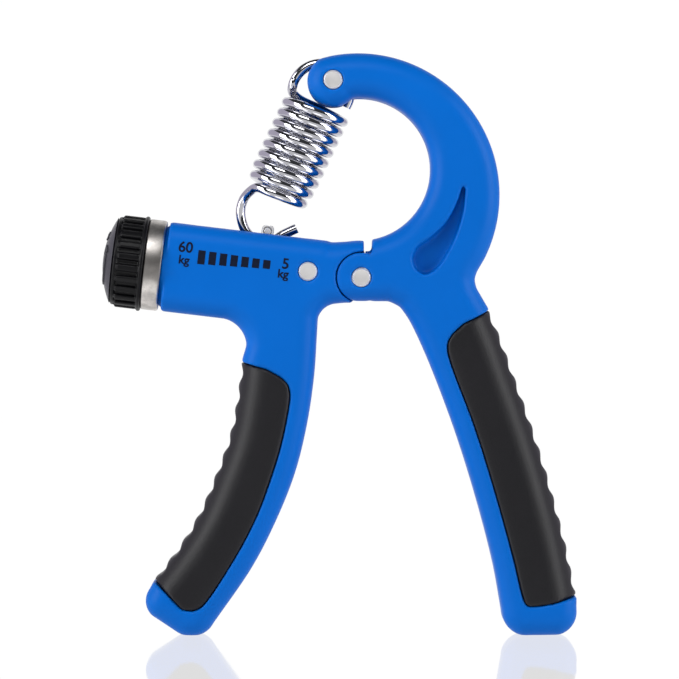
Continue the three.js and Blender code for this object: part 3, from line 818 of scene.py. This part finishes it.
class GRIP_OT_knob(bpy.types.Operator):
    """Builds the ribbed load knob and its domed cap with a turn arrow"""
    bl_idname = "grip.knob"
    bl_label = "Load knob"

    def execute(self, context):
        sizes = context.scene.grip_sizes
        front, back = KNOB_APEX + KNOB_DOME, KNOB_APEX + KNOB_LENGTH
        core = turned("knob_core", [
            (0, front + 0.15), (11.2, front + 0.15), (11.75, front + 0.5), (11.8, front + 1.2),
            (11.35, front + 1.45), (11.3, back - 1.25), (12.3, back - 1.15), (12.75, back - 0.85),
            (12.75, back - 0.3), (12.45, back), (4.0, back), (0, back)])
        ribs = []
        for i in range(sizes.ribs):
            angle = (i + 0.5) * 2 * math.pi / sizes.ribs
            bpy.ops.mesh.primitive_cube_add(size=1)
            rib = bpy.context.object
            rib.scale = (back - front - 2.7, 1.75, 2.2)
            rib.location = ((front + back) / 2 + 0.15, 11.3 * math.sin(angle), 11.3 * math.cos(angle))
            rib.rotation_euler = (-angle, 0, 0)
            bpy.context.view_layer.update()
            settle(rib, "rib")
            apply_modifier(rib, "BEVEL", width=0.35, segments=3)
            ribs.append(settle(rib, "rib", BARREL_MATRIX))
        knob = joined([core, *ribs])
        moulded(knob, 0.2, 3)
        combine(knob, rod(4.6, -30, front + 2))
        smooth_by_angle(knob, 50)
        complete(knob, "load_knob", "knob", "knob", ["knob"])

        sphere = (11.45 ** 2 + KNOB_DOME ** 2) / (2 * KNOB_DOME)
        dome = [(r, KNOB_APEX + sphere - math.sqrt(sphere ** 2 - r * r)) for r in
                [11.2 * i / 24 for i in range(25)]]
        cap = turned("cap", [*dome, (11.42, front - 0.05), (11.3, front + 0.02), (4.4, front + 0.02),
                             (4.4, front + 0.6), (0, front + 0.6)], 128)

        def on_dome(radius, angle):
            x = KNOB_APEX + sphere - math.sqrt(sphere ** 2 - radius ** 2)
            return Vector((x, radius * math.sin(angle), radius * math.cos(angle)))

        raised = []
        ring = 6.9  # radius of the circle that arrows and signs stand on

        def raise_line(name, path):
            raised.append(wire(name, [BARREL_MATRIX @ p for p in path], 0.42, (0.15,) * 3, 4))

        for start, end in ((0.35, 1.9), (3.5, 5.05)):
            raise_line("arrow_arc", [on_dome(ring, start + (end - start) * i / 24) for i in range(25)])
            tip = end + 0.22
            for radius in (5.6, 8.2):
                raise_line("arrow_head", [on_dome(ring + (radius - ring) * t, tip - 0.3 * t) for t in (0, 0.5, 1)])
        dash, upright = [(-1.2, 0), (1.2, 0)], [(0, -1.2), (0, 1.2)]
        for angle, strokes in ((2.7, [dash]), (5.85, [dash, upright])):
            for stroke in strokes:
                raise_line("sign", [on_dome(ring + dr, angle + da / ring) for da, dr in stroke])
        whole = joined([cap, *raised])
        smooth_by_angle(whole, 40)
        complete(whole, "knob_dome_cap", "cap", "knob", ["knob_cap"])
        return {"FINISHED"}


class GRIP_OT_barrel_metal(bpy.types.Operator):
    """Turns the barrel's collar and the adjusting screw with its thread, and gives the thrust washer, screw bush,
    pivot sleeve and pivot washers their finishes
    """
    bl_idname = "grip.barrel_metal"
    bl_label = "Barrel metal"

    def execute(self, context):
        start = KNOB_APEX + KNOB_LENGTH + 0.1
        end = start + 4.6
        collar = turned("collar", [
            (8, start), (11.75, start), (12.1, start + 0.3), (12.15, start + 0.6), (12.15, end - 0.7),
            (12.05, end - 0.25), (11.8, end), (8, end)], 160)
        smooth_by_angle(collar, 30)
        complete(collar, "barrel_collar_ring", "nickel", "left_handle", ["barrel_collar"])

        front = KNOB_APEX + KNOB_DOME
        core = turned("screw_core", [
            (0, front + 1.3), (4.3, front + 1.3), (4.6, front + 1.6), (4.6, front + 4.0), (4.3, front + 4.3),
            (2.5, front + 4.3), (2.5, RETAINING_PIN[0] - 1.8), (1.4, RETAINING_PIN[0] - 1.7),
            (1.4, RETAINING_PIN[0] + 1.7), (2.5, RETAINING_PIN[0] + 1.8), (2.8, RETAINING_PIN[0] + 2.0),
            (2.8, SCREW_END - 0.4), (2.4, SCREW_END), (0, SCREW_END)], 48)
        lead, first, last = 1.5, 0.5, RETAINING_PIN[0] - 3.4
        steps = int((last - first) / lead * 20)
        thread = []
        for i in range(steps + 1):
            along = first + (last - first) * i / steps
            turn = 2 * math.pi * along / lead
            thread.append(BARREL_MATRIX @ Vector((along, 2.42 * math.cos(turn), 2.42 * math.sin(turn))))
        screw = joined([core, wire("thread", thread, 0.42, (0, 0, 0), 1)])
        smooth_by_angle(screw, 30)
        complete(screw, "threaded_adjusting_screw", "steel", "knob", ["adjusting_screw"])

        for node, finish in (("thrust_washer", "steel"), ("screw_bush", "brass"), ("pivot_sleeve", "brass"),
                             ("pivot_washer_front", "nylon"), ("pivot_washer_back", "nylon")):
            frame["nodes"][node].data.materials.clear()
            frame["nodes"][node].data.materials.append(finish_of(finish))
        return {"FINISHED"}


class GRIP_OT_scale(bpy.types.Operator):
    """Prints the load scale on the barrel's front: seven bars with a value at each end"""
    bl_idname = "grip.scale"
    bl_label = "Load scale"

    def execute(self, context):
        face = -context.scene.grip_sizes.plate / 2
        marks = []
        for i in range(7):
            clear_selection()
            bpy.ops.mesh.primitive_cube_add(size=1)
            bar = bpy.context.object
            bar.scale = (1.93, 0.05, 3.7 - 0.233 * i)
            bar.location = (-42.8 + 2.9 * i - BARREL_ORIGIN.x, face - 0.01, 3.6 + 0.03 * i)
            bpy.context.view_layer.update()
            marks.append(settle(bar, "scale_bar", BARREL_MATRIX))
        for words, x, z, size in (("60", -46.6, 7.9, 3.5), ("kg", -47.1, 4.6, 2.85), ("5", -20.1, 3.5, 3.5),
                                  ("kg", -20.8, 0.85, 2.85)):
            clear_selection()
            bpy.ops.object.text_add()
            text = bpy.context.object
            text.data.body = words
            text.data.size = size * 1.12
            text.data.extrude = 0.025
            text.data.offset = 0.08
            text.data.align_x = "CENTER"
            text.data.align_y = "CENTER"
            choose(text)
            bpy.ops.object.convert(target="MESH")
            text = bpy.context.object
            text.matrix_world = (PIVOT_MATRIX @ Matrix.Translation((x, face - 0.01, z))
                                 @ Matrix.Rotation(BARREL_TILT, 4, "Y") @ Matrix.Rotation(math.pi / 2, 4, "X"))
            marks.append(settle(text, "scale_value"))
        scale = joined(marks)
        tidy_mesh(scale)
        complete(scale, "printed_load_scale", "ink", "left_handle")
        return {"FINISHED"}


# ---- pins ----

def headed_pin(name, centre, head, shank, half, neck):
    """A pin along y with chamfered, faintly dished heads."""
    end = half - 0.15
    profile = [(0, -end + 0.12), (head * 0.55, -end + 0.06), (head - 0.35, -end), (head, -end + 0.35),
               (head, -neck), (shank, -neck), (shank, neck), (head, neck), (head, end - 0.35),
               (head - 0.35, end), (head * 0.55, end - 0.06), (0, end - 0.12)]
    pin = turned(name, profile, 64, cross_matrix(centre))
    smooth_by_angle(pin, 30)
    return pin


class GRIP_OT_pins(bpy.types.Operator):
    """Turns the three cross pins"""
    bl_idname = "grip.pins"
    bl_label = "Cross pins"

    def execute(self, context):
        half = context.scene.grip_sizes.plate / 2
        complete(headed_pin("pin", (0, 0), 2.5, 2.4, half, 5), "main_pivot_pin", "steel",
                 "right_handle", ["pivot_pin"])
        complete(headed_pin("pin", TOP_PIN, 2.5, 1.65, half, 2.3), "upper_spring_pin", "steel",
                 "right_handle", ["spring_top_pin"])
        retaining = headed_pin("pin", barrel_point(*RETAINING_PIN), 2.5, 1.4, half, half - 1.3)
        complete(retaining, "screw_locking_pin", "steel", "left_handle", ["screw_retaining_pin"])
        return {"FINISHED"}


# ---- traveller and spring ----

class GRIP_OT_traveller(bpy.types.Operator):
    """Builds the nut on the screw, its two ears and the bar that the spring hooks on"""
    bl_idname = "grip.traveller"
    bl_label = "Traveller"

    def execute(self, context):
        offset = Vector((BAR_CENTRE[0], 0, BAR_CENTRE[1])) - BARREL_ORIGIN
        along = offset.x * math.cos(BARREL_TILT) - offset.z * math.sin(BARREL_TILT)
        top = offset.x * math.sin(BARREL_TILT) + offset.z * math.cos(BARREL_TILT) + 1.45
        ear = [barrel_point(along + x, z) for x, z in (
            (-1.6, 4), (1.6, 4), (1.6, top - 0.6), (1.1, top), (-1.1, top), (-1.6, top - 0.6))]
        nut = barrel_box((along - 4, -4.2, -4.2), (along + 4, 4.2, 5))
        combine(nut, prism("ear", ear, 1.7, 4.2), "UNION")
        combine(nut, prism("ear", ear, -4.2, -1.7), "UNION")
        combine(nut, rod(3.2, 0, 34))
        combine(nut, cross_cylinder(BAR_CENTRE, 1.15, *THROUGH, 48))
        apply_modifier(nut, "BEVEL", width=0.25 * MM, segments=2, limit_method="ANGLE")
        smooth_by_angle(nut, 35)
        complete(nut, "spring_traveller_nut", "steel", "traveller", ["traveller_nut"])
        bar = turned("bar", [(0, -4.15), (0.75, -4.15), (0.9, -4.0), (0.9, -1.5), (1.4, -1.4), (1.4, 1.4),
                             (0.9, 1.5), (0.9, 4.0), (0.75, 4.15), (0, 4.15)], 48, cross_matrix(BAR_CENTRE))
        smooth_by_angle(bar, 30)
        complete(bar, "spring_hook_bar", "steel", "spring_hook", ["traveller_bar"])
        return {"FINISHED"}


def wire(name, points, radius, ends, resolution=6):
    """A round wire along points in metres, made from a curve with a bevel and closed ends."""
    clear_selection()
    bpy.ops.curve.primitive_nurbs_path_add(radius=1)
    piece, curve, spline = through_points(points)
    for i, point in enumerate(spline.points):
        from_end = min(i, len(points) - 1 - i)
        point.radius = 1 - (ends[from_end] if from_end < len(ends) else 0)
    curve.dimensions = "3D"
    curve.bevel_depth = radius * MM
    curve.bevel_resolution = resolution
    curve.use_fill_caps = True
    curve.twist_mode = "MINIMUM"
    choose(piece)
    bpy.ops.object.convert(target="MESH")
    piece = bpy.context.object
    settle(piece, name)
    tidy_mesh(piece)
    return piece


def coil_radius(turn, sizes):
    """The first turns are wound a little tighter."""
    return sizes.coil * min(1, 0.89 + 0.055 * turn)


def coil_middle(turn, sizes):
    """The place on the spring's axis at a turn."""
    return COIL_TOP + SPRING_AXIS * ((turn - COIL_TURNS) * sizes.pitch)


def spring_line(sizes):
    """The wire's middle line, from the lower hook's end to the upper loop's end, with the turn of each point."""
    def coil(turn):
        angle = math.pi - 2 * math.pi * turn
        radius = coil_radius(turn, sizes)
        point = coil_middle(turn, sizes) + SPRING_ACROSS * (radius * math.cos(angle))
        return point + Vector((0, -radius * math.sin(angle), 0))

    hook = [Vector(p) for p in (
        (-17.3, 0, 13.1), (-20.9, 0, 11.4), (-23.3, 0, 9.8), (-25.6, 0, 9.3), (-28.6, 0, 10.2),
        (-31.2, 0, 12.9), (-32.3, 0, 17.2), (-31.4, -0.9, 20.9), (-29.2, -3.2, 23.3))]
    loop = [Vector((-16.2, 5.3, 47.6)), Vector((-18.3, 2.2, 49.5)),
            *[Vector((x, 0, z)) for x, z in arc(TOP_LOOP[0], TOP_LOOP[1], 165, -31, 14)]]
    knots = [(p, -1) for p in hook]
    knots += [(coil(i / 16), i / 16) for i in range(2, 141)]
    knots += [(p, COIL_TURNS) for p in loop]
    line = []
    chain = [knots[0], *knots, knots[-1]]
    for (a, _), (b, turn), (c, after), (d, _) in zip(chain, chain[1:], chain[2:], chain[3:]):
        steps = 4 if turn >= 0 and after < COIL_TURNS else 10
        for t in (i / steps for i in range(steps)):
            line.append((between(a, b, c, d, t), turn + (after - turn) * t))
    line.append(knots[-1])
    return line


def stretch_points(turn, share_before, share_after, sizes):
    """Where a half turn's blend starts and ends. It runs across the coil, along the wire, so that a stretch
    opens the gap between turns and leaves the wire's thickness alone. The shares are how much of the joint's
    travel the half turn has at its two ends; the blend eases in and out, so they are turned back first."""
    sign = 1 if round(2 * turn) % 2 == 0 else -1
    radius = coil_radius(turn, sizes)

    def eased(share):
        return 0.5 - math.sin(math.asin(1 - 2 * share) / 3)

    before, after = eased(share_before), eased(share_after)
    run = 2 * radius / (after - before)
    start = coil_middle(turn, sizes) + SPRING_ACROSS * (sign * (-radius - before * run))
    return PIVOT_MATRIX @ start, PIVOT_MATRIX @ (start + SPRING_ACROSS * (sign * run))


class GRIP_OT_spring(bpy.types.Operator):
    """Winds the spring: lower hook, coil in half turns grouped in three lengths, and upper loop"""
    bl_idname = "grip.spring"
    bl_label = "Tension spring"

    def execute(self, context):
        sizes = context.scene.grip_sizes
        line = spring_line(sizes)

        def length_of_wire(name, first, last, nodes, body=None):
            section = [PIVOT_MATRIX @ place for place, turn in line
                       if first - LINE_STEP <= turn <= last + LINE_STEP]
            piece = wire(name, section, sizes.wire, (), 8)
            smooth_by_angle(piece, 60)
            return complete(piece, name, "chrome", body, nodes)

        hook = length_of_wire("spring_hook_wire", -1, COIL_START, ["spring_lower_hook"])
        PIVOT_MATRIX @ coil_middle(COIL_START, sizes)
        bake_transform(hook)

        half = 0
        for halves, below, above, node in STRETCHING_LENGTHS:
            for step in range(halves):
                turn = COIL_START + half / 2
                half += 1
                piece = length_of_wire(f"spring_half_turn_{half:02d}", turn, turn + 0.5, [node])
                start, end = stretch_points(turn, step / halves, (step + 1) / halves, sizes)
                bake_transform(piece)

        length_of_wire("spring_upper_loop", COIL_START + half / 2, COIL_TURNS, ["spring_upper_hook"], "spring_top")
        return {"FINISHED"}


# ---- stage ----

def area_light(name, place, aim, size, energy):
    clear_selection()
    bpy.ops.object.light_add(type="AREA", location=place)
    light = bpy.context.object
    light.name = name
    light.data.shape = "RECTANGLE"
    light.data.size, light.data.size_y = size
    light.data.energy = energy
    light.rotation_euler = (Vector(aim) - Vector(place)).to_track_quat("-Z", "Y").to_euler()
    return light


class GRIP_OT_stage(bpy.types.Operator):
    """Sets up the camera, soft studio lights and a glossy white floor"""
    bl_idname = "grip.stage"
    bl_label = "Stage"

    def execute(self, context):
        aim = Vector((-0.0002, 0, 0.0788))
        distance, elevation = 1.1, math.radians(1.2)
        clear_selection()
        bpy.ops.object.camera_add(
            location=aim + Vector((0, -distance * math.cos(elevation), distance * math.sin(elevation))),
            rotation=(math.pi / 2 - elevation, 0, 0))
        camera = bpy.context.object
        camera.data.sensor_width = 36
        camera.data.lens = 36 * distance / 0.182
        camera.data.clip_start, camera.data.clip_end = 0.05, 50
        context.scene.camera = camera

        for name, place, turn, material in (
                ("studio_floor", (0, 0, -0.0002), 0, floor_material()),
                ("studio_backdrop", (0, 1.4, 0.9), math.pi / 2,
                 glowing_material("studio_backdrop", (1, 1, 1), 1.01))):
            bpy.ops.mesh.primitive_plane_add(size=12 if turn == 0 else 1.9, location=place, rotation=(turn, 0, 0))
            plane = bpy.context.object
            plane.name = name
            plane.data.materials.append(material)

        # Grey cards at both sides, seen only in reflections, give polished metal its soft outlines.
        card = glowing_material("studio_card", (0.86, 0.80, 0.95), 0.65)
        for side in (-1, 1):
            bpy.ops.mesh.primitive_plane_add(size=0.8, location=(side * 0.5, 0.22, 0.25),
                                             rotation=(math.pi / 2, 0, side * math.radians(-66)))
            plane = bpy.context.object
            plane.name = "studio_card_left" if side < 0 else "studio_card_right"
            plane.data.materials.append(card)
            plane.visible_camera = plane.visible_diffuse = plane.visible_shadow = False

        centre = (0, 0, 0.08)
        area_light("side_left", (-0.85, -0.35, 0.22), centre, (0.5, 1.1), 10.5)
        area_light("side_right", (0.85, -0.3, 0.22), centre, (0.5, 1.1), 10)
        area_light("front_top", (-0.15, -0.8, 0.9), centre, (0.6, 0.5), 5)

        world = bpy.data.worlds.new("studio")
        world.use_nodes = True
        context.scene.world = world
        nodes, links = world.node_tree.nodes, world.node_tree.links
        ambient = nodes["Background"]
        ambient.inputs["Color"].default_value = (0.9, 0.95, 1.0, 1)
        ambient.inputs["Strength"].default_value = 0.05
        white = nodes.new("ShaderNodeBackground")
        white.inputs["Strength"].default_value = 1.0
        white.inputs["Color"].default_value = (1, 1, 1, 1)
        rays, mix = nodes.new("ShaderNodeLightPath"), nodes.new("ShaderNodeMixShader")
        links.new(rays.outputs["Is Camera Ray"], mix.inputs[0])
        links.new(ambient.outputs[0], mix.inputs[1])
        links.new(white.outputs[0], mix.inputs[2])
        links.new(mix.outputs[0], nodes["World Output"].inputs["Surface"])
        context.scene.view_settings.view_transform = "Standard"
        return {"FINISHED"}


def floor_material():
    """White floor that mirrors the object faintly, fading away from its feet."""
    material = bpy.data.materials.new("studio_floor")
    material.use_nodes = True
    tree = material.node_tree
    tree.nodes.clear()
    output = tree.nodes.new("ShaderNodeOutputMaterial")
    white, gloss = tree.nodes.new("ShaderNodeEmission"), tree.nodes.new("ShaderNodeBsdfGlossy")
    white.inputs["Strength"].default_value = 1.01
    gloss.inputs["Roughness"].default_value = 0.05
    gloss.inputs["Color"].default_value = (1, 1, 1, 1)
    mix = tree.nodes.new("ShaderNodeMixShader")
    mix.inputs[0].default_value = 0.28
    tree.links.new(white.outputs[0], mix.inputs[1])
    tree.links.new(gloss.outputs[0], mix.inputs[2])
    tree.links.new(mix.outputs[0], output.inputs["Surface"])
    return material


def glowing_material(name, colour, strength):
    """Evenly lit paper."""
    material = bpy.data.materials.new(name)
    material.use_nodes = True
    tree = material.node_tree
    tree.nodes.clear()
    output, paper = tree.nodes.new("ShaderNodeOutputMaterial"), tree.nodes.new("ShaderNodeEmission")
    paper.inputs["Color"].default_value = (*colour, 1)
    paper.inputs["Strength"].default_value = strength
    tree.links.new(paper.outputs[0], output.inputs["Surface"])
    return material


# ---- registration ----

OPERATORS = (GRIP_OT_stage, GRIP_OT_left_handle, GRIP_OT_right_handle, GRIP_OT_grips, GRIP_OT_knob,
             GRIP_OT_barrel_metal, GRIP_OT_scale, GRIP_OT_pins, GRIP_OT_traveller, GRIP_OT_spring)


class GRIP_PT_panel(bpy.types.Panel):
    """Lists the building steps, the sizes and the colours"""
    bl_idname = "GRIP_PT_panel"
    bl_label = "Hand Grip Strengthener"
    bl_space_type = "VIEW_3D"
    bl_region_type = "UI"
    bl_category = "Grip"

    def draw(self, context):
        for operator in OPERATORS:
            self.layout.operator(operator.bl_idname)
        for settings in (context.scene.grip_sizes, context.scene.grip_colours):
            for name in settings.__annotations__:
                self.layout.prop(settings, name)


CLASSES = (GripSizes, GripColours, *OPERATORS, GRIP_PT_panel)


def register():
    for cls in CLASSES:
        bpy.utils.register_class(cls)
    bpy.types.Scene.grip_sizes = bpy.props.PointerProperty(type=GripSizes)
    bpy.types.Scene.grip_colours = bpy.props.PointerProperty(type=GripColours)


def unregister():
    del bpy.types.Scene.grip_colours
    del bpy.types.Scene.grip_sizes
    for cls in reversed(CLASSES):
        bpy.utils.unregister_class(cls)


def main():
    register()
    for operator in OPERATORS:
        group, name = operator.bl_idname.split(".")
        getattr(getattr(bpy.ops, group), name)()
    clear_selection()


if __name__ == "__main__":
    main()
